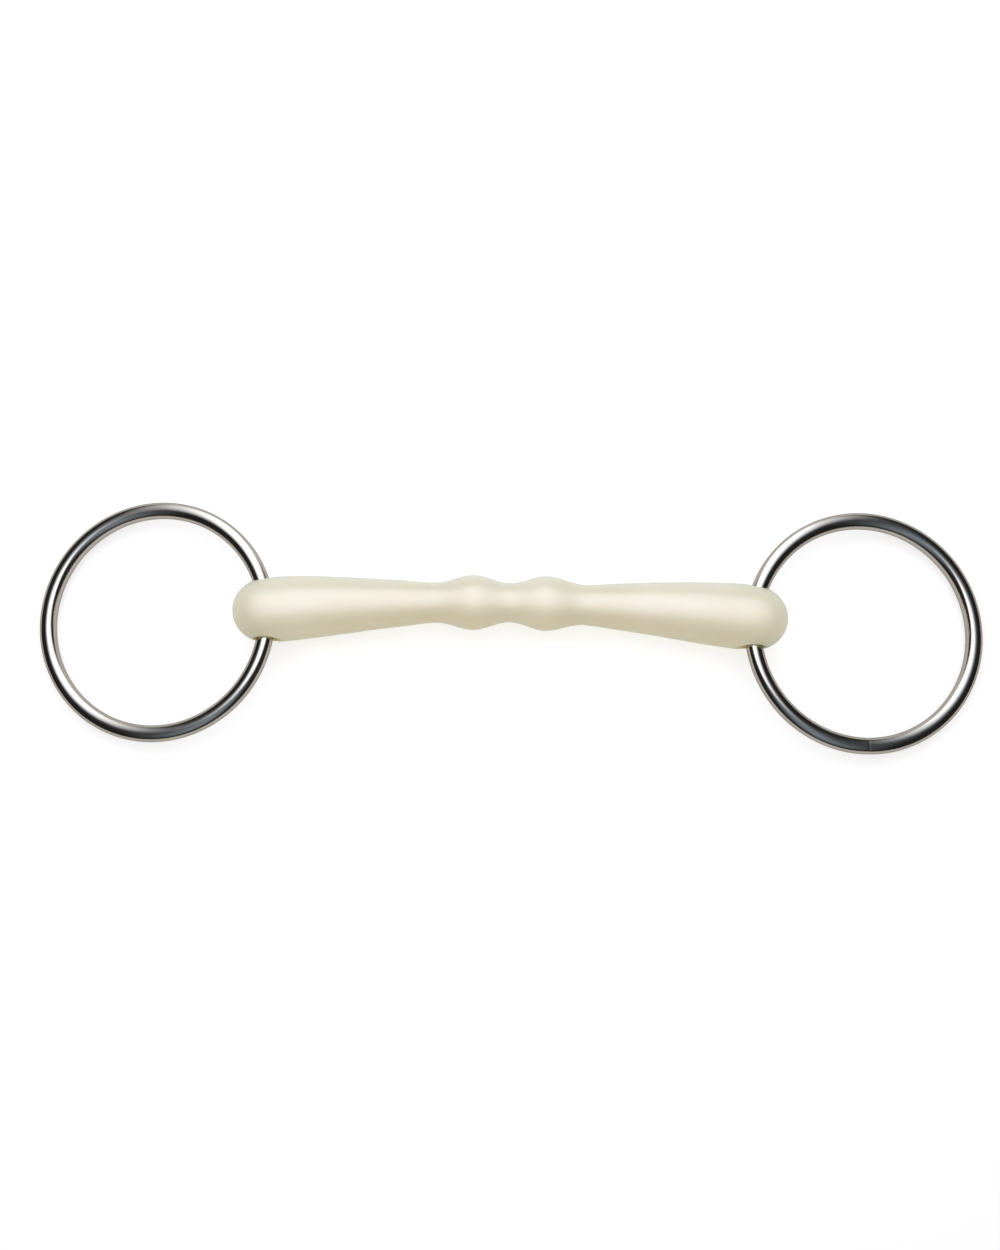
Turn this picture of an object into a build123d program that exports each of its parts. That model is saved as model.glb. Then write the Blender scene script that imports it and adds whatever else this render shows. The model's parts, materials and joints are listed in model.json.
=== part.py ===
from build123d import *

import os
from math import asin, cos, sin, sqrt

# Loose-ring snaffle bit: an arched plastic mouthpiece over a steel core, with a round steel ring in each
# end. It lies flat: +X runs along the mouthpiece, +Y across it towards the arch's crown, and +Z up. The
# origin is under the middle of the whole bit, on the surface that it rests on. Sizes are in millimetres.

# Driving dimensions: the rings
bit_size = 135.0  # mouth width, between the two rings where they enter the mouthpiece
ring_outside = 70.0
wire_diameter = 4.8

# Driving dimensions: the mouthpiece, with stations measured along its centreline from the middle
arch_radius = 740.0  # the centreline is an arc in the XY plane
valley_radius = 5.65
ridge_station, ridge_radius = 10.4, 7.9
neck_station, neck_radius = 21.0, 5.8
arm_station, arm_radius, arm_slope = 31.0, 6.7, 0.08  # where the taper from neck to end sets in
end_diameter = 18.9
section_count = 5  # circles that each stretch of the skin is lofted through
mouth_rounding = 0.4  # lip of a ring hole

# Driving dimensions: the core, and the sleeves that line the ring holes
rod_diameter = 4.5
eye_length, eye_wall = 11.2, 1.8
sleeve_length, sleeve_wall = 13.0, 0.75
flange_thickness, flange_reach = 0.8, 0.35
bore_rounding = 0.3
wire_clearance = 0.1  # least gap between a ring's wire and its sleeve
sleeve_clearance = 0.05  # round a sleeve, in its eye
flange_clearance = 0.08  # round a sleeve's flange, in the plastic

# The ring's wire bends as it goes through the straight sleeve, so the ring is set a little inwards of the
# hole's axis. Then the gap is the same on the wire's inner side, mid-sleeve, as on its outer side, at the
# sleeve's ends.
wire_radius = wire_diameter / 2
ring_radius = ring_outside / 2 - wire_radius
sleeve_half = sleeve_length / 2
wire_bend = ring_radius - sqrt(ring_radius**2 - sleeve_half**2)
slanted_wire = wire_radius * ring_radius / sqrt(ring_radius**2 - sleeve_half**2)
ring_inset = (wire_bend + slanted_wire - wire_radius) / 2
sleeve_bore = wire_radius + ring_inset + wire_clearance
sleeve_radius = sleeve_bore + sleeve_wall
flange_radius = sleeve_radius + flange_reach
eye_bore = sleeve_radius + sleeve_clearance
eye_radius = eye_bore + eye_wall
mouth_radius = flange_radius + flange_clearance

# Each ring leans outwards and down, from its hole at the mouthpiece's mid-height to the surface below.
end_radius = end_diameter / 2
hole_x = (bit_size + wire_diameter) / 2
hole_angle = asin(hole_x / arch_radius)  # slope of the centreline at a hole
hole_station = arch_radius * hole_angle  # distance along the centreline from the middle
ring_reach = ring_radius - ring_inset  # from a hole's axis to the ring's centre
lean_sine = (end_radius - wire_radius) / (ring_reach + ring_radius)
lean_cosine = sqrt(1 - lean_sine**2)
hole_y = ring_reach * lean_cosine * sin(hole_angle)  # the rings' centres are then at y = 0
crown_y = hole_y + arch_radius * (1 - cos(hole_angle))

# Mouthpiece profile from the middle to a hole: distance along the centreline, radius, slope
profile = (
    (0.0, valley_radius, 0.0),
    (ridge_station, ridge_radius, 0.0),
    (neck_station, neck_radius, 0.0),
    (arm_station, arm_radius, arm_slope),
    (hole_station, end_radius, 0.0),
)


def bar_radius(station):
    """The mouthpiece's radius at a station, by a cubic between each two profile points."""
    distance = min(abs(station), hole_station)
    for (start, low, low_slope), (stop, high, high_slope) in zip(profile, profile[1:]):
        if distance <= stop:
            break
    span = stop - start
    t = (distance - start) / span
    rise = low + (high - low) * t**2 * (3 - 2 * t)
    return rise + span * t * (1 - t) * (low_slope * (1 - t) - high_slope * t)


def bar_plane(station):
    """The plane square to the mouthpiece's centreline at a station."""
    angle = station / arch_radius
    centre = (arch_radius * sin(angle), crown_y - arch_radius * (1 - cos(angle)), end_radius)
    return Plane(origin=centre, x_dir=(0, 0, 1), z_dir=(cos(angle), -sin(angle), 0))


def hole_plane(side):
    """The plane at a ring hole's centre: its z axis is the hole's, its x axis points out of the end."""
    centre = (side * hole_x, hole_y, end_radius)
    outwards = (side * cos(hole_angle), -sin(hole_angle), 0)
    return Plane(origin=centre, x_dir=outwards, z_dir=(side * sin(hole_angle), cos(hole_angle), 0))


def ring_plane(side):
    """The plane of a ring at rest: its origin is the ring's centre, and its z axis the ring's own axis."""
    hole = hole_plane(side)
    outwards = hole.x_dir * lean_cosine - Vector(0, 0, lean_sine)
    return Plane(
        origin=hole.origin + outwards * ring_reach,
        x_dir=outwards,
        z_dir=outwards.cross(hole.z_dir) * side,
    )


def save(part, name):
    part.label = name
    export_step(part, f"parts/{name}.step")


os.makedirs("parts", exist_ok=True)
sides = {"left": -1, "right": 1}

for name, side in sides.items():
    # Ring: round wire, bent to a circle and butt-welded
    with BuildPart() as ring:
        with Locations(ring_plane(side).location):
            Torus(ring_radius, wire_radius)
    save(ring.part, f"{name}_ring")

    # Sleeve: a tube with a flange at each end, which turns in its eye as the ring swings
    hole = hole_plane(side)
    with BuildPart() as sleeve:
        with BuildSketch(hole.offset(-sleeve_half)):
            Circle(sleeve_radius)
        extrude(amount=sleeve_length)
        with BuildSketch(hole.offset(-sleeve_half), hole.offset(sleeve_half - flange_thickness)):
            Circle(flange_radius)
        extrude(amount=flange_thickness)
        with BuildSketch(hole.offset(-sleeve_half)):
            Circle(sleeve_bore)
        extrude(amount=sleeve_length, mode=Mode.SUBTRACT)
        outer_faces = sleeve.faces().sort_by(Axis(hole.origin, hole.z_dir))
        fillet(outer_faces[0].edges() + outer_faces[-1].edges(), bore_rounding)
    save(sleeve.part, f"{name}_sleeve")

# Eyes: thick short tubes round the ring holes, welded to the ends of the core rod
eyes = []
for name, side in sides.items():
    with BuildPart() as eye:
        with BuildSketch(hole_plane(side).offset(-eye_length / 2)):
            Circle(eye_radius)
            Circle(eye_bore, mode=Mode.SUBTRACT)
        extrude(amount=eye_length)
    save(eye.part, f"{name}_eye")
    eyes.append(eye.part)

# Core rod: it follows the mouthpiece's centreline from eye to eye, with its ends hollowed to sit on them
with BuildPart() as core_rod:
    with BuildLine():
        ThreePointArc(hole_plane(-1).origin, bar_plane(0).origin, hole_plane(1).origin)
    with BuildSketch(bar_plane(-hole_station)):
        Circle(rod_diameter / 2)
    sweep()
    with BuildSketch(*(hole_plane(side).offset(-eye_length / 2) for side in sides.values())):
        Circle(eye_radius)
    extrude(amount=eye_length, mode=Mode.SUBTRACT)
save(core_rod.part, "core_rod")

# Mouthpiece: plastic moulded over the core, with tapering arms, two ridges in the middle and round ends
with BuildPart() as mouthpiece:
    half_bar = [station for station, radius, slope in profile]
    whole_bar = [-station for station in reversed(half_bar[1:])] + half_bar
    for start, stop in zip(whole_bar, whole_bar[1:]):
        for index in range(section_count):
            station = start + (stop - start) * index / (section_count - 1)
            with BuildSketch(bar_plane(station)):
                Circle(bar_radius(station))
        loft()
    with Locations(hole_plane(-1).location, hole_plane(1).location):
        Sphere(end_radius)
    with BuildSketch(*(hole_plane(side).offset(-end_diameter) for side in sides.values())):
        Circle(mouth_radius)
    extrude(amount=2 * end_diameter, mode=Mode.SUBTRACT)
    hole_walls = mouthpiece.faces().filter_by(GeomType.CYLINDER)
    fillet(hole_walls.edges().filter_by(GeomType.LINE, reverse=True), mouth_rounding)
    with BuildSketch(*(hole_plane(side).offset(-eye_length / 2) for side in sides.values())):
        Circle(eye_radius)
    extrude(amount=eye_length, mode=Mode.SUBTRACT)
    add(core_rod.part, mode=Mode.SUBTRACT)
save(mouthpiece.part, "mouthpiece")
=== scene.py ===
import json
from math import asin, atan2, cos, exp, pi, radians, sin, sqrt

import bmesh
import bpy
from mathutils import Matrix, Vector, noise


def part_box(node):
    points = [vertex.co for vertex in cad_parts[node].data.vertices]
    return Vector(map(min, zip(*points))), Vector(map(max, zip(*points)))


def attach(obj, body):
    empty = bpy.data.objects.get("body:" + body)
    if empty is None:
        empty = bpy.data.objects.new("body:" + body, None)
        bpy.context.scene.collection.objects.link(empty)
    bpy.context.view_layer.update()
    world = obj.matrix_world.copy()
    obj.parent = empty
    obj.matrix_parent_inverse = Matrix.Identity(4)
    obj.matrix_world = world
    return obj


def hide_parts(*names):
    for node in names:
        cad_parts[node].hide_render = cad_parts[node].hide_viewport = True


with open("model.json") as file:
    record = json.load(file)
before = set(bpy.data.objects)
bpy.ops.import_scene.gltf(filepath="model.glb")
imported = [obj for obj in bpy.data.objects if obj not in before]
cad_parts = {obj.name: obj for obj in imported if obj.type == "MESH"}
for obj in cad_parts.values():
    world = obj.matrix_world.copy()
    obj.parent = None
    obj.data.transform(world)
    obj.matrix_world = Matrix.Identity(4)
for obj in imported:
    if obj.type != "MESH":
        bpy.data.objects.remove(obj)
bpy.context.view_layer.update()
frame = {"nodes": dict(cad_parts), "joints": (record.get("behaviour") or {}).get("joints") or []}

# Loose-ring snaffle bit: an arched cream plastic mouthpiece with two ridges in its middle, and a polished
# round steel ring in each end. It is in the frame's own axes, with +X along the mouthpiece and +Z up, and
# in metres unless a section says otherwise.

MM = 0.001
TINY = 1e-6  # for comparing metres, or sines and cosines
UP = Vector((0, 0, 1))
SIDES = {"left": -1, "right": 1}
JOINTS = {joint["name"]: joint for joint in frame["joints"]}
NODES = frame["nodes"]


# Camera and studio

CAMERA_AIM = Vector((-2.66, -0.16, 9.45)) * MM  # the point in the middle of the view
CAMERA_DISTANCE = 420 * MM
CAMERA_TURNS = (("Y", 0.75), ("X", 9.7), ("Z", 1.05))  # pan, tilt from straight down and roll, in degrees
CAMERA_LENS = 42.38  # mm, on a 36 mm sensor

FLOOR_HALF = 4.0
FLOOR_COLOUR = (0.51, 0.50, 0.45, 1)
FLOOR_GLOW = 0.58
FLOOR_GLOW_IN_GLOSS = 0.22  # weaker in reflections, so that the steel's edges show against the floor

ROOM_DARK = (0.022, 0.022, 0.024)
ROOM_GREY = (0.28, 0.35, 0.45)
ROOM_SIDE = 0.62  # how far sideways the room turns dark, as the sine of the angle from straight up
ROOM_HEIGHT = (0.1, 0.75)  # between these sines of the angle above the horizon it turns grey
SOFT_LIGHT = (0.46, 0.48, 0.48)  # on matt surfaces, from all round
SOFT_FRONT = (0.42, 0.32, 0.08)  # on matt surfaces, from straight in front
BACKDROP = (0.93, 0.93, 0.93, 1)  # seen by the camera past the floor

KEY_COLOUR = (0.87, 0.92, 1.28)
SHINE_COLOUR = (0.96, 1.0, 1.12)
GLOSS_COLOUR = (1.03, 1.0, 1.17)


def smooth_range(nodes, links, value, start, stop):
    """Runs smoothly from 0 to 1 while the value goes from start to stop."""
    made = nodes.new("ShaderNodeMapRange")
    made.interpolation_type = "SMOOTHSTEP"
    made.inputs["From Min"].default_value = start
    made.inputs["From Max"].default_value = stop
    links.new(value, made.inputs["Value"])
    return made.outputs["Result"]


def product(nodes, links, one, other):
    made = nodes.new("ShaderNodeMath")
    made.operation = "MULTIPLY"
    links.new(one, made.inputs[0])
    links.new(other, made.inputs[1])
    return made.outputs[0]


def add_camera():
    data = bpy.data.cameras.new("camera")
    data.lens = CAMERA_LENS
    data.clip_start = 0.01
    camera = bpy.data.objects.new("camera", data)
    turn = Matrix.Identity(3)
    for axis, degrees in CAMERA_TURNS:
        turn = turn @ Matrix.Rotation(radians(degrees), 3, axis)
    place = CAMERA_AIM + turn @ Vector((0, 0, CAMERA_DISTANCE))
    camera.matrix_world = Matrix.Translation(place) @ turn.to_4x4()
    bpy.context.scene.collection.objects.link(camera)
    bpy.context.scene.camera = camera


def add_floor():
    mesh = bpy.data.meshes.new("floor")
    corners = [(x * FLOOR_HALF, y * FLOOR_HALF, 0) for x, y in ((-1, -1), (1, -1), (1, 1), (-1, 1))]
    mesh.from_pydata(corners, [], [(0, 1, 2, 3)])
    floor = bpy.data.objects.new("floor", mesh)
    bpy.context.scene.collection.objects.link(floor)
    paint, nodes, links, shader = new_material("floor_paint")
    shader.inputs["Base Color"].default_value = FLOOR_COLOUR
    shader.inputs["Roughness"].default_value = 0.9
    shader.inputs["Specular IOR Level"].default_value = 0.1
    shader.inputs["Emission Color"].default_value = (1, 1, 1, 1)
    glow = nodes.new("ShaderNodeMapRange")
    glow.inputs["To Min"].default_value = FLOOR_GLOW
    glow.inputs["To Max"].default_value = FLOOR_GLOW_IN_GLOSS
    links.new(nodes.new("ShaderNodeLightPath").outputs["Is Glossy Ray"], glow.inputs["Value"])
    links.new(glow.outputs["Result"], shader.inputs["Emission Strength"])
    mesh.materials.append(paint)


def add_softbox(name, place, aim, size, brightness, edges, colour, shines=False):
    """A rectangular light that fades towards its edges, over the given shares of its half width and half
    height. It lights matt surfaces, or if it shines, it shows in glossy ones instead."""
    data = bpy.data.lights.new(name, "AREA")
    data.shape = "RECTANGLE"
    data.size, data.size_y = size
    data.energy = pi * size[0] * size[1] * brightness
    data.color = colour
    data.use_nodes = True
    nodes, links = data.node_tree.nodes, data.node_tree.links
    spot = nodes.new("ShaderNodeSeparateXYZ")
    links.new(nodes.new("ShaderNodeNewGeometry").outputs["Parametric"], spot.inputs[0])
    fades = []
    for axis, edge in zip("XY", edges):
        inwards = nodes.new("ShaderNodeMath")
        inwards.operation = "PINGPONG"
        inwards.inputs[1].default_value = 0.5
        links.new(spot.outputs[axis], inwards.inputs[0])
        fades.append(smooth_range(nodes, links, inwards.outputs[0], 0.0, edge / 2))
    links.new(product(nodes, links, *fades), nodes["Emission"].inputs["Strength"])
    light = bpy.data.objects.new(name, data)
    light.location = place
    light.rotation_euler = (Vector(aim) - Vector(place)).to_track_quat("-Z", "Y").to_euler()
    light.visible_camera = False
    light.visible_diffuse = not shines
    light.visible_glossy = shines
    bpy.context.scene.collection.objects.link(light)
    return light


def light_only(light, pieces):
    """Makes the light reach the given pieces and nothing else."""
    lit = bpy.data.collections.new(f"lit_by_{light.name}")
    for piece in pieces:
        lit.objects.link(piece)
    light.light_linking.receiver_collection = lit


def add_world():
    """A dim grey room in reflections, soft light all round for matt surfaces, and a pale backdrop."""
    world = bpy.data.worlds.new("studio")
    bpy.context.scene.world = world
    world.use_nodes = True
    nodes, links = world.node_tree.nodes, world.node_tree.links
    nodes.clear()
    output = nodes.new("ShaderNodeOutputWorld")
    paths = nodes.new("ShaderNodeLightPath")
    way = nodes.new("ShaderNodeSeparateXYZ")
    links.new(nodes.new("ShaderNodeTexCoord").outputs["Generated"], way.inputs[0])

    sideways = nodes.new("ShaderNodeMath")
    sideways.operation = "ABSOLUTE"
    links.new(way.outputs["X"], sideways.inputs[0])
    middle = smooth_range(nodes, links, sideways.outputs[0], ROOM_SIDE, 0.0)
    upwards = smooth_range(nodes, links, way.outputs["Z"], *ROOM_HEIGHT)
    greys = ramp(nodes, links, product(nodes, links, middle, upwards), [(0.0, ROOM_DARK), (1.0, ROOM_GREY)])
    room = nodes.new("ShaderNodeBackground")
    links.new(greys, room.inputs["Color"])

    frontwards = smooth_range(nodes, links, way.outputs["Y"], 0.0, -1.0)
    tints = ramp(nodes, links, frontwards, [(0.0, SOFT_LIGHT), (1.0, SOFT_FRONT)])
    soft = nodes.new("ShaderNodeBackground")
    links.new(tints, soft.inputs["Color"])

    backdrop = nodes.new("ShaderNodeBackground")
    backdrop.inputs["Color"].default_value = BACKDROP
    by_surface = nodes.new("ShaderNodeMixShader")
    links.new(paths.outputs["Is Glossy Ray"], by_surface.inputs[0])
    links.new(soft.outputs[0], by_surface.inputs[1])
    links.new(room.outputs[0], by_surface.inputs[2])
    by_eye = nodes.new("ShaderNodeMixShader")
    links.new(paths.outputs["Is Camera Ray"], by_eye.inputs[0])
    links.new(by_surface.outputs[0], by_eye.inputs[1])
    links.new(backdrop.outputs[0], by_eye.inputs[2])
    links.new(by_eye.outputs[0], output.inputs["Surface"])


# Materials. Each pair is the two colours or roughnesses that a cloud texture varies between.

PLASTIC_TINTS = (0.655, 0.597, 0.40), (0.69, 0.637, 0.442)
PLASTIC_ROUGHNESS = 0.30, 0.36
POLISHED_TINTS = (0.52, 0.475, 0.40), (0.58, 0.54, 0.465)
POLISHED_EDGE = (0.62, 0.56, 0.47, 1)  # its colour at grazing angles
POLISHED_ROUGHNESS = 0.09, 0.16
# the inner steel's dark tints are partly painted shade, darkening the hole mouths round the rings
TURNED_TINTS_AND_SHADE = (0.24, 0.235, 0.225), (0.36, 0.355, 0.34)
TURNED_ROUGHNESS = 0.31, 0.42


def new_material(name):
    material = bpy.data.materials.new(name)
    material.use_nodes = True
    nodes, links = material.node_tree.nodes, material.node_tree.links
    return material, nodes, links, nodes["Principled BSDF"]


def cloud(nodes, links, place, scale, detail):
    texture = nodes.new("ShaderNodeTexNoise")
    texture.inputs["Scale"].default_value = scale
    texture.inputs["Detail"].default_value = detail
    links.new(place, texture.inputs["Vector"])
    return texture.outputs["Fac"]


def ramp(nodes, links, value, stops):
    """Colours or greys along a value: stops are (value, colour)."""
    made = nodes.new("ShaderNodeValToRGB")
    elements = made.color_ramp.elements
    while len(elements) < len(stops):
        elements.new(0.5)
    for element, (position, colour) in zip(elements, stops):
        element.position = position
        element.color = (*colour, 1) if hasattr(colour, "__len__") else (colour, colour, colour, 1)
    links.new(value, made.inputs["Fac"])
    return made.outputs["Color"]


def vary(nodes, links, texture, pair, socket):
    """Varies a socket between two colours or greys, over the middle of a cloud texture's range."""
    low, high = pair
    links.new(ramp(nodes, links, texture, [(0.3, low), (0.7, high)]), socket)


def bump(nodes, links, height, distance, strength):
    made = nodes.new("ShaderNodeBump")
    made.inputs["Distance"].default_value = distance
    made.inputs["Strength"].default_value = strength
    links.new(height, made.inputs["Height"])
    return made.outputs["Normal"]


def cream_plastic():
    material, nodes, links, shader = new_material("cream_plastic")
    place = nodes.new("ShaderNodeTexCoord").outputs["Object"]
    tint = cloud(nodes, links, place, scale=45, detail=3)
    smear = cloud(nodes, links, place, scale=140, detail=2)
    waves = cloud(nodes, links, place, scale=90, detail=1)
    vary(nodes, links, tint, PLASTIC_TINTS, shader.inputs["Base Color"])
    vary(nodes, links, smear, PLASTIC_ROUGHNESS, shader.inputs["Roughness"])
    links.new(bump(nodes, links, waves, distance=0.5 * MM, strength=0.2), shader.inputs["Normal"])
    shader.inputs["Specular IOR Level"].default_value = 0.3
    shader.inputs["Coat Weight"].default_value = 0.7
    shader.inputs["Coat Roughness"].default_value = 0.22
    shader.inputs["Subsurface Weight"].default_value = 0.6
    shader.inputs["Subsurface Radius"].default_value = (1.0, 0.75, 0.35)
    shader.inputs["Subsurface Scale"].default_value = 5 * MM
    return material


def polished_steel():
    """Steel with smears, and with fine scratches that run along the wire."""
    material, nodes, links, shader = new_material("polished_steel")
    place = nodes.new("ShaderNodeTexCoord").outputs["Object"]
    smear = cloud(nodes, links, place, scale=120, detail=5)
    shader.inputs["Metallic"].default_value = 1.0
    shader.inputs["Specular Tint"].default_value = POLISHED_EDGE
    vary(nodes, links, smear, POLISHED_TINTS, shader.inputs["Base Color"])
    vary(nodes, links, smear, POLISHED_ROUGHNESS, shader.inputs["Roughness"])
    along = nodes.new("ShaderNodeUVMap")
    along.uv_map = "wire"
    stretched = nodes.new("ShaderNodeMapping")
    stretched.inputs["Scale"].default_value = (90, 2600, 1)
    links.new(along.outputs["UV"], stretched.inputs["Vector"])
    scratches = cloud(nodes, links, stretched.outputs["Vector"], scale=1, detail=2)
    links.new(bump(nodes, links, scratches, distance=0.02 * MM, strength=0.25), shader.inputs["Normal"])
    return material


def turned_steel_and_shade():
    """Duller, darker steel, for the pieces inside the mouthpiece. Its dark tint is partly the steel's own
    dull tone and partly painted shade, which darkens the hole mouths where the rings come out.
    """
    material, nodes, links, shader = new_material("turned_steel_and_shade")
    place = nodes.new("ShaderNodeTexCoord").outputs["Object"]
    smear = cloud(nodes, links, place, scale=400, detail=4)
    shader.inputs["Metallic"].default_value = 1.0
    vary(nodes, links, smear, TURNED_TINTS_AND_SHADE, shader.inputs["Base Color"])
    vary(nodes, links, smear, TURNED_ROUGHNESS, shader.inputs["Roughness"])
    return material


# Mouthpiece skin. Its sizes are in millimetres, and it is worked out for the right half: the left half is
# its mirror image, apart from the slight waves left by polishing. Its profile, its hole mouths and the eye
# that they open on are the CAD's.

ARCH_RADIUS = 740.0
HOLE_X, HOLE_Y, MIDDLE_Z = (abs(value) / MM for value in JOINTS["right_swing"]["pos_m"])
END_RADIUS = MIDDLE_Z
HOLE_STATION = ARCH_RADIUS * asin(HOLE_X / ARCH_RADIUS)  # along the centreline, from the middle
PROFILE = (  # distance along the centreline, radius, slope
    (0.0, 5.65, 0.0),
    (10.4, 7.9, 0.0),
    (21.0, 5.8, 0.0),
    (31.0, 6.7, 0.08),
    (HOLE_STATION, END_RADIUS, 0.0),
)
MOUTH_RADIUS = 4.03
MOUTH_ROUNDING = 0.4
EYE_RADIUS = 5.452
EYE_HALF = 5.6
SHOULDER = 3.6  # to each side of the hole's axis, where the bar's curve becomes the round end's
LINE_HEIGHT = 0.05  # parting line, where the mould's halves met
LINE_WIDTH = 0.14
LINE_ROWS = 1.5 * LINE_WIDTH  # to each side of the line, where the skin has rows of its own
WAVE_HEIGHT = 0.06
WAVE_LENGTH = 11.0
WAVE_TOP = 0.7  # about the most that the noise reaches: the waves only sink into the skin

BAR_STEP = 0.6
PATCH_TURN = pi / 4  # the patch of skin round a hole's mouth, to each side of the hole's axis
PATCH_STEPS = 12
PATCH_RINGS = 5  # from the patch's border to the mouth
LIP_STEPS = 4


def bar_radius(station):
    """The mouthpiece's radius at a station, by a cubic between each two profile points."""
    for (start, low, low_slope), (stop, high, high_slope) in zip(PROFILE, PROFILE[1:]):
        if station <= stop:
            break
    span = stop - start
    t = (station - start) / span
    rise = low + (high - low) * t**2 * (3 - 2 * t)
    return rise + span * t * (1 - t) * (low_slope * (1 - t) - high_slope * t)


def bar_section(station):
    """A point of the centreline, and the level direction across it."""
    angle = station / ARCH_RADIUS
    hole_angle = HOLE_STATION / ARCH_RADIUS
    y = HOLE_Y + ARCH_RADIUS * (cos(angle) - cos(hole_angle))
    return Vector((ARCH_RADIUS * sin(angle), y, MIDDLE_Z)), Vector((sin(angle), cos(angle), 0))


HOLE, HOLE_AXIS = bar_section(HOLE_STATION)
OUTWARDS = HOLE_AXIS.cross(UP)


def on_side(point, side):
    """The point itself on the right, and its mirror image on the left."""
    return Vector((point.x * side, point.y, point.z))


def shoulder(away):
    """How far the skin sinks at a distance past the hole's axis. The round end's curve sets in little by
    little over the shoulder, so that no edge shows where it starts."""
    if away <= -SHOULDER:
        return 0
    if away < 0:
        return (away + SHOULDER) ** 3 / (12 * SHOULDER * END_RADIUS)
    if away < SHOULDER:
        rise = SHOULDER**2 / 12 + SHOULDER * away / 4 - away**2 / 4 + away**3 / (12 * SHOULDER)
        return rise / END_RADIUS
    t = (away - SHOULDER) / (pi / 2 * END_RADIUS - SHOULDER)
    return SHOULDER**2 / 6 / END_RADIUS * (1 - t**2 * (3 - 2 * t))


def finished(point, middle, side, away):
    """A point of the skin, moved to or from the middle by the waves, the parting line and the shoulder."""
    waves = WAVE_HEIGHT * (noise.noise(on_side(point, side) / WAVE_LENGTH) - WAVE_TOP)
    line = LINE_HEIGHT * exp(-((point.z - MIDDLE_Z) / LINE_WIDTH) ** 2)
    moved = point + (point - middle).normalized() * (waves + line - shoulder(away))
    return on_side(moved, side) * MM


def ring_point(along, turn, side):
    """A point of the skin: past the hole's station it is on the round end."""
    if along <= HOLE_STATION:
        middle, across = bar_section(along)
        centre, radius = middle, bar_radius(along)
    else:
        middle, across = HOLE, HOLE_AXIS
        angle = (along - HOLE_STATION) / END_RADIUS
        centre, radius = HOLE + OUTWARDS * END_RADIUS * sin(angle), END_RADIUS * cos(angle)
    point = centre + (across * cos(turn) + UP * sin(turn)) * radius
    return finished(point, middle, side, along - HOLE_STATION)


def patch_point(out, rise, face, side):
    """A point of the skin at a distance out from the hole's axis and above it, on the far face (1) or the
    near face (-1)."""
    if out >= 0:
        depth = sqrt(END_RADIUS**2 - out**2 - rise**2)
        past = END_RADIUS * asin(out / END_RADIUS)
        return finished(HOLE + OUTWARDS * out + UP * rise + HOLE_AXIS * face * depth, HOLE, side, past)
    station = HOLE_STATION + out
    for attempt in range(3):  # each brings the point nearer to the distance asked for
        middle, across = bar_section(station)
        point = middle + UP * rise + across * face * sqrt(bar_radius(station) ** 2 - rise**2)
        station += out - (point - HOLE).dot(OUTWARDS)
    return finished(point, middle, side, station - HOLE_STATION)


def hole_point(radius, turn, depth, side):
    """A point inside the hole, at a distance along its axis from its centre."""
    point = HOLE + (OUTWARDS * cos(turn) + UP * sin(turn)) * radius + HOLE_AXIS * depth
    return on_side(point, side) * MM


def out_and_rise(vert, side):
    """How far a vertex of the skin is out from the hole's axis and above it."""
    place = on_side(vert.co, side) / MM - HOLE
    return place.dot(OUTWARDS), place.z


def bridge(mesh, one, other):
    """Joins two closed rings of vertices by a band of faces."""
    for index in range(len(one)):
        after = (index + 1) % len(one)
        mesh.faces.new((one[index], one[after], other[after], other[index]))


def hole_mouth(mesh, border, headings, face, side):
    """Skin that closes in from the patch's border on the hole's mouth, rounds its lip, and runs into the
    hole and out again over the eye's end. It returns the last two rings of vertices."""
    mouth = MOUTH_RADIUS + MOUTH_ROUNDING
    starts = [out_and_rise(vert, side) for vert in border]
    rings = [border]
    for share in (step / PATCH_RINGS for step in range(1, PATCH_RINGS + 1)):
        places = [(out + (mouth * cos(turn) - out) * share, rise + (mouth * sin(turn) - rise) * share)
                  for (out, rise), turn in zip(starts, headings)]
        rings.append([mesh.verts.new(patch_point(out, rise, face, side)) for out, rise in places])
    brims = [vert.co.copy() for vert in rings[-1]]
    corners = [patch_point(MOUTH_RADIUS * cos(turn), MOUTH_RADIUS * sin(turn), face, side)
               for turn in headings]
    inwards = on_side(HOLE_AXIS, side) * -face * MOUTH_ROUNDING * MM
    for t in (step / LIP_STEPS for step in range(1, LIP_STEPS + 1)):
        lip = [brim * (1 - t) ** 2 + corner * 2 * t * (1 - t) + (corner + inwards) * t**2
               for brim, corner in zip(brims, corners)]
        rings.append([mesh.verts.new(place) for place in lip])
    for radius in (MOUTH_RADIUS, EYE_RADIUS):
        places = [hole_point(radius, turn, face * EYE_HALF, side) for turn in headings]
        rings.append([mesh.verts.new(place) for place in places])
    for one, other in zip(rings, rings[1:]):
        bridge(mesh, one, other)
    return rings[-2:]


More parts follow.
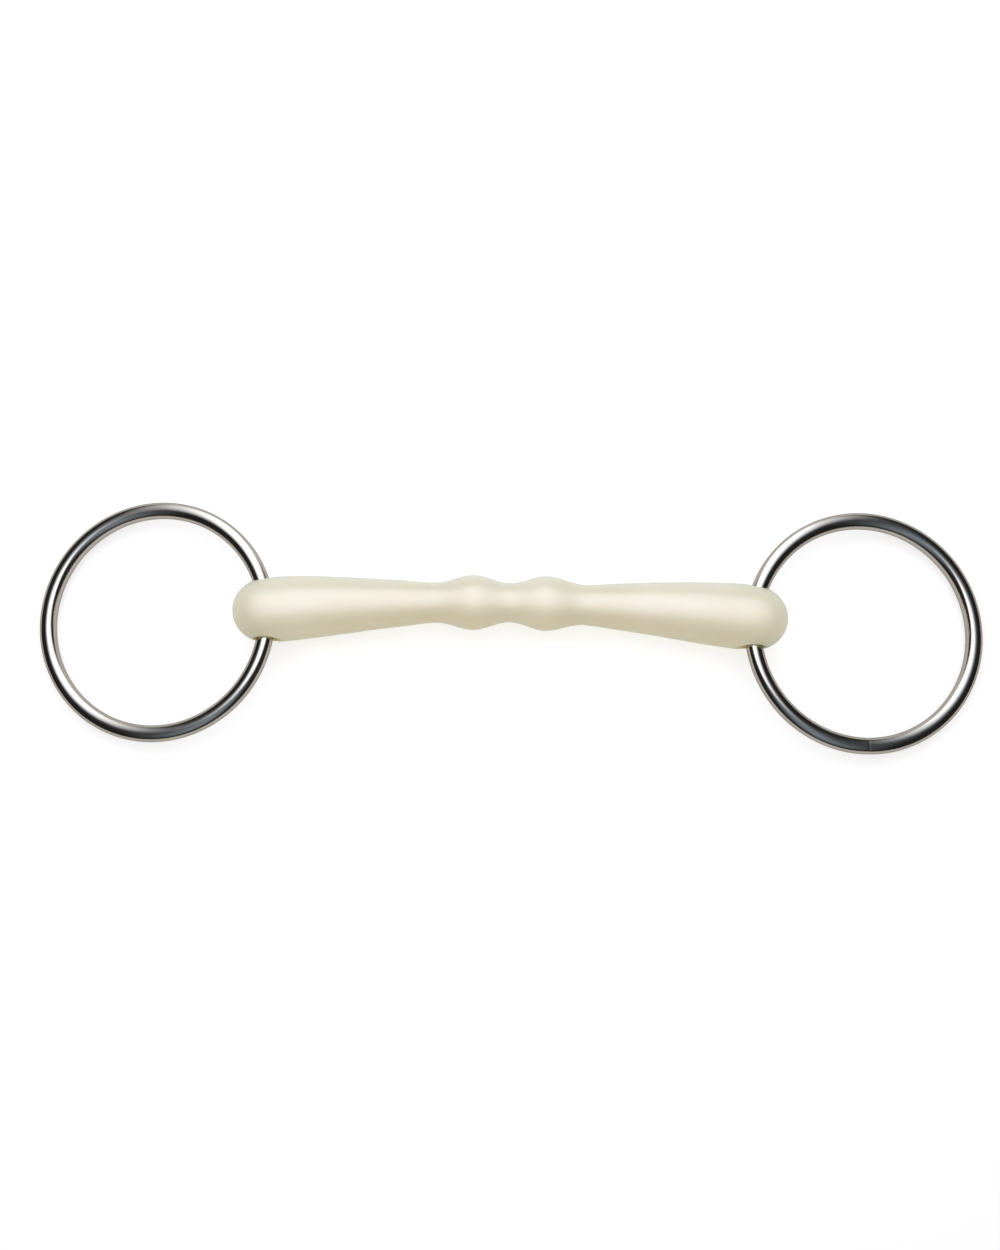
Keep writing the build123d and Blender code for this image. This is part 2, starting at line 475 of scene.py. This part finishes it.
def mouthpiece_half(mesh, side):
    """Rows of skin along the bar and over its round end, with a hole mouth on each face. It returns the
    vertices at the corners inside the hole, where the skin has sharp edges."""
    quarter = [PATCH_TURN * step / PATCH_STEPS for step in range(2 * PATCH_STEPS)]
    even_turns = {round(start * pi / 2 + turn, 6) for start in range(4) for turn in quarter}
    beside = LINE_ROWS / END_RADIUS
    line_turns = {round((start + turn) % (2 * pi), 6) for start in (0, pi) for turn in (beside, -beside)}
    turns = sorted(even_turns | line_turns)
    patch_length = END_RADIUS * sin(PATCH_TURN)
    bar_steps = round((HOLE_STATION - patch_length) / BAR_STEP)
    alongs = [(HOLE_STATION - patch_length) * step / bar_steps for step in range(bar_steps)]
    alongs += [HOLE_STATION - patch_length * (1 - step / PATCH_STEPS) for step in range(PATCH_STEPS)]
    alongs += [HOLE_STATION + END_RADIUS * turn for turn in quarter]
    patch_rows = range(bar_steps, bar_steps + 2 * PATCH_STEPS)

    made = {}

    def vertex(row, column):
        key = row, column % len(turns)
        if key not in made:
            made[key] = mesh.verts.new(ring_point(alongs[row], turns[key[1]], side))
        return made[key]

    def in_patch(column):
        step = (turns[(column + 1) % len(turns)] - turns[column]) % (2 * pi)
        return abs(cos(turns[column] + step / 2)) > cos(PATCH_TURN)

    def across_from(column):
        """The column on the near face that is opposite this one on the far face."""
        turn = (pi - turns[column]) % (2 * pi)
        return min(range(len(turns)), key=lambda other: abs(turns[other] - turn))

    for row in range(len(alongs) - 1):
        for column in range(len(turns)):
            if not (row in patch_rows and in_patch(column)):
                mesh.faces.new((vertex(row, column), vertex(row, column + 1),
                                vertex(row + 1, column + 1), vertex(row + 1, column)))
    tip = mesh.verts.new(finished(HOLE + OUTWARDS * END_RADIUS, HOLE, side, pi / 2 * END_RADIUS))
    last = [vertex(len(alongs) - 1, column) for column in range(len(turns))]
    for one, other in zip(last, last[1:] + last[:1]):
        mesh.faces.new((one, other, tip))

    # Once round the border of each hole's patch, by row and column
    edge = [column for column, turn in enumerate(turns) if cos(turn) > cos(PATCH_TURN) - TINY]
    edge.sort(key=lambda column: sin(turns[column]))
    first, final = patch_rows.start, patch_rows.stop
    border = [(row, edge[0]) for row in range(first, final)]
    border += [(final, column) for column in edge[:-1]]
    border += [(row, edge[-1]) for row in range(final, first, -1)]
    border += [(first, column) for column in reversed(edge[1:])]
    far = [vertex(row, column) for row, column in border]
    near = [vertex(row, across_from(column)) for row, column in border]

    headings = [atan2(rise, out) for out, rise in (out_and_rise(vert, side) for vert in far)]
    far_rings = hole_mouth(mesh, far, headings, 1, side)
    near_rings = hole_mouth(mesh, near, headings, -1, side)
    bridge(mesh, far_rings[-1], near_rings[-1])
    return [vert for ring in far_rings + near_rings for vert in ring]


def mouthpiece_skin():
    mesh = bmesh.new()
    sharp = {vert for side in SIDES.values() for vert in mouthpiece_half(mesh, side)}
    seam = [vert for vert in mesh.verts if abs(vert.co.x) < TINY]
    bmesh.ops.remove_doubles(mesh, verts=seam, dist=TINY)
    bmesh.ops.recalc_face_normals(mesh, faces=mesh.faces)
    for face in mesh.faces:
        face.smooth = True
    for edge in mesh.edges:
        if edge.verts[0] in sharp and edge.verts[1] in sharp:
            edge.smooth = False
    data = bpy.data.meshes.new("mouthpiece_skin")
    mesh.to_mesh(data)
    mesh.free()
    return data


# Rings

WELD_AT = {"left": pi / 2, "right": pi}  # clockwise from the far side; the left ring's is inside its hole
WELD_WIDTH = 0.35 * MM
WELD_GROOVE = 0.02 * MM
WELD_FLAT = 0.03 * MM  # taken off by grinding, over WELD_GROUND to each side
WELD_GROUND = 3.0 * MM
WELD_STEP = WELD_WIDTH / 4
WELD_STEPS = 10  # to each side of the weld
RING_STEPS = 360
WIRE_STEPS = 48


def ring_wire(side):
    """A ring of round wire on the CAD ring's own circle, with its ground butt weld."""
    joint = JOINTS[f"{side}_spin"]
    low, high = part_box(f"{side}_ring")
    centre, axis = Vector(joint["pos_m"]), Vector(joint["axis"]).normalized()
    lean_sine = sin(axis.angle(UP))
    outside, thickness = (high[1] - low[1]) / 2, (high[2] - low[2]) / 2
    wire = (thickness - outside * lean_sine) / (1 - lean_sine)
    radius = outside - wire
    far = (Vector((0, 1, 0)) - axis * axis.y).normalized()
    right = far.cross(axis)

    steps = [step * 2 * pi / RING_STEPS for step in range(RING_STEPS)]
    fine = [WELD_AT[side] + step * WELD_STEP / radius for step in range(-WELD_STEPS, WELD_STEPS + 1)]
    turns = sorted([turn for turn in steps if not fine[0] < turn < fine[-1]] + fine)
    angles = [step * 2 * pi / WIRE_STEPS for step in range(WIRE_STEPS)]
    mesh = bmesh.new()
    loops = []
    for turn in turns:
        away = (turn - WELD_AT[side]) * radius
        cut = WELD_GROOVE * exp(-(away / WELD_WIDTH) ** 2) + WELD_FLAT * exp(-(away / WELD_GROUND) ** 2)
        out = far * cos(turn) + right * sin(turn)
        places = [centre + out * radius + (out * cos(angle) + axis * sin(angle)) * (wire - cut)
                  for angle in angles]
        loops.append([mesh.verts.new(place) for place in places])

    uv = mesh.loops.layers.uv.new("wire")
    lengths = [turn * radius for turn in turns] + [2 * pi * radius + turns[0] * radius]
    for index, loop in enumerate(loops):
        after = loops[(index + 1) % len(loops)]
        for step in range(WIRE_STEPS):
            back = (step + 1) % WIRE_STEPS
            face = mesh.faces.new((loop[step], loop[back], after[back], after[step]))
            face.smooth = True
            corners = ((index, step), (index, step + 1), (index + 1, step + 1), (index + 1, step))
            for corner, (along, around) in zip(face.loops, corners):
                corner[uv].uv = lengths[along], around * 2 * pi * wire / WIRE_STEPS
    bmesh.ops.recalc_face_normals(mesh, faces=mesh.faces)
    data = bpy.data.meshes.new(f"{side}_ring_wire")
    mesh.to_mesh(data)
    mesh.free()
    return data


# The whole bit: the made pieces, and the CAD's own nodes with a material

def add_piece(name, data, material, body, replaced):
    data.materials.append(material)
    piece = bpy.data.objects.new(name, data)
    bpy.context.scene.collection.objects.link(piece)
    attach(piece, body)
    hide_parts(replaced)
    return piece


def dress(node, material):
    for slot in NODES[node].material_slots:
        slot.material = material
    return NODES[node]


plastic, ring_steel, core_steel_and_shade = cream_plastic(), polished_steel(), turned_steel_and_shade()
skin = add_piece("mouthpiece_skin", mouthpiece_skin(), plastic, "mouthpiece", "mouthpiece")
steel = [dress("core_rod", core_steel_and_shade)]
for side in SIDES:
    ring = f"{side}_ring"
    steel.append(add_piece(f"{side}_ring_wire", ring_wire(side), ring_steel, ring, ring))
    steel.append(dress(f"{side}_sleeve", core_steel_and_shade))
    steel.append(dress(f"{side}_eye", core_steel_and_shade))

add_camera()
add_floor()
add_world()
add_softbox(
    "key", place=(-0.025, 0.155, 0.22), aim=(-0.025, 0, 0), size=(0.9, 0.38),
    brightness=0.50, edges=(0.5, 0.5), colour=KEY_COLOUR,
)
add_softbox(
    "spill", place=(-0.025, 0.02, 0.20), aim=(-0.025, 0, 0), size=(0.9, 0.66),
    brightness=1.04, edges=(0.8, 0.8), colour=KEY_COLOUR,
)
shine = add_softbox(
    "shine", place=(-0.026, 0.10, 0.217), aim=(-0.031, -0.123, 0), size=(0.50, 0.82),
    brightness=2.6, edges=(1.0, 0.6), colour=SHINE_COLOUR, shines=True,
)
gloss = add_softbox(
    "gloss", place=(-0.026, 0.09, 0.25), aim=(-0.026, 0.05, 0), size=(0.95, 0.80),
    brightness=3.1, edges=(1.0, 0.9), colour=GLOSS_COLOUR, shines=True,
)
light_only(shine, steel)
light_only(gloss, [skin])
bpy.context.scene.view_settings.view_transform = "Standard"

bpy.context.view_layer.update()
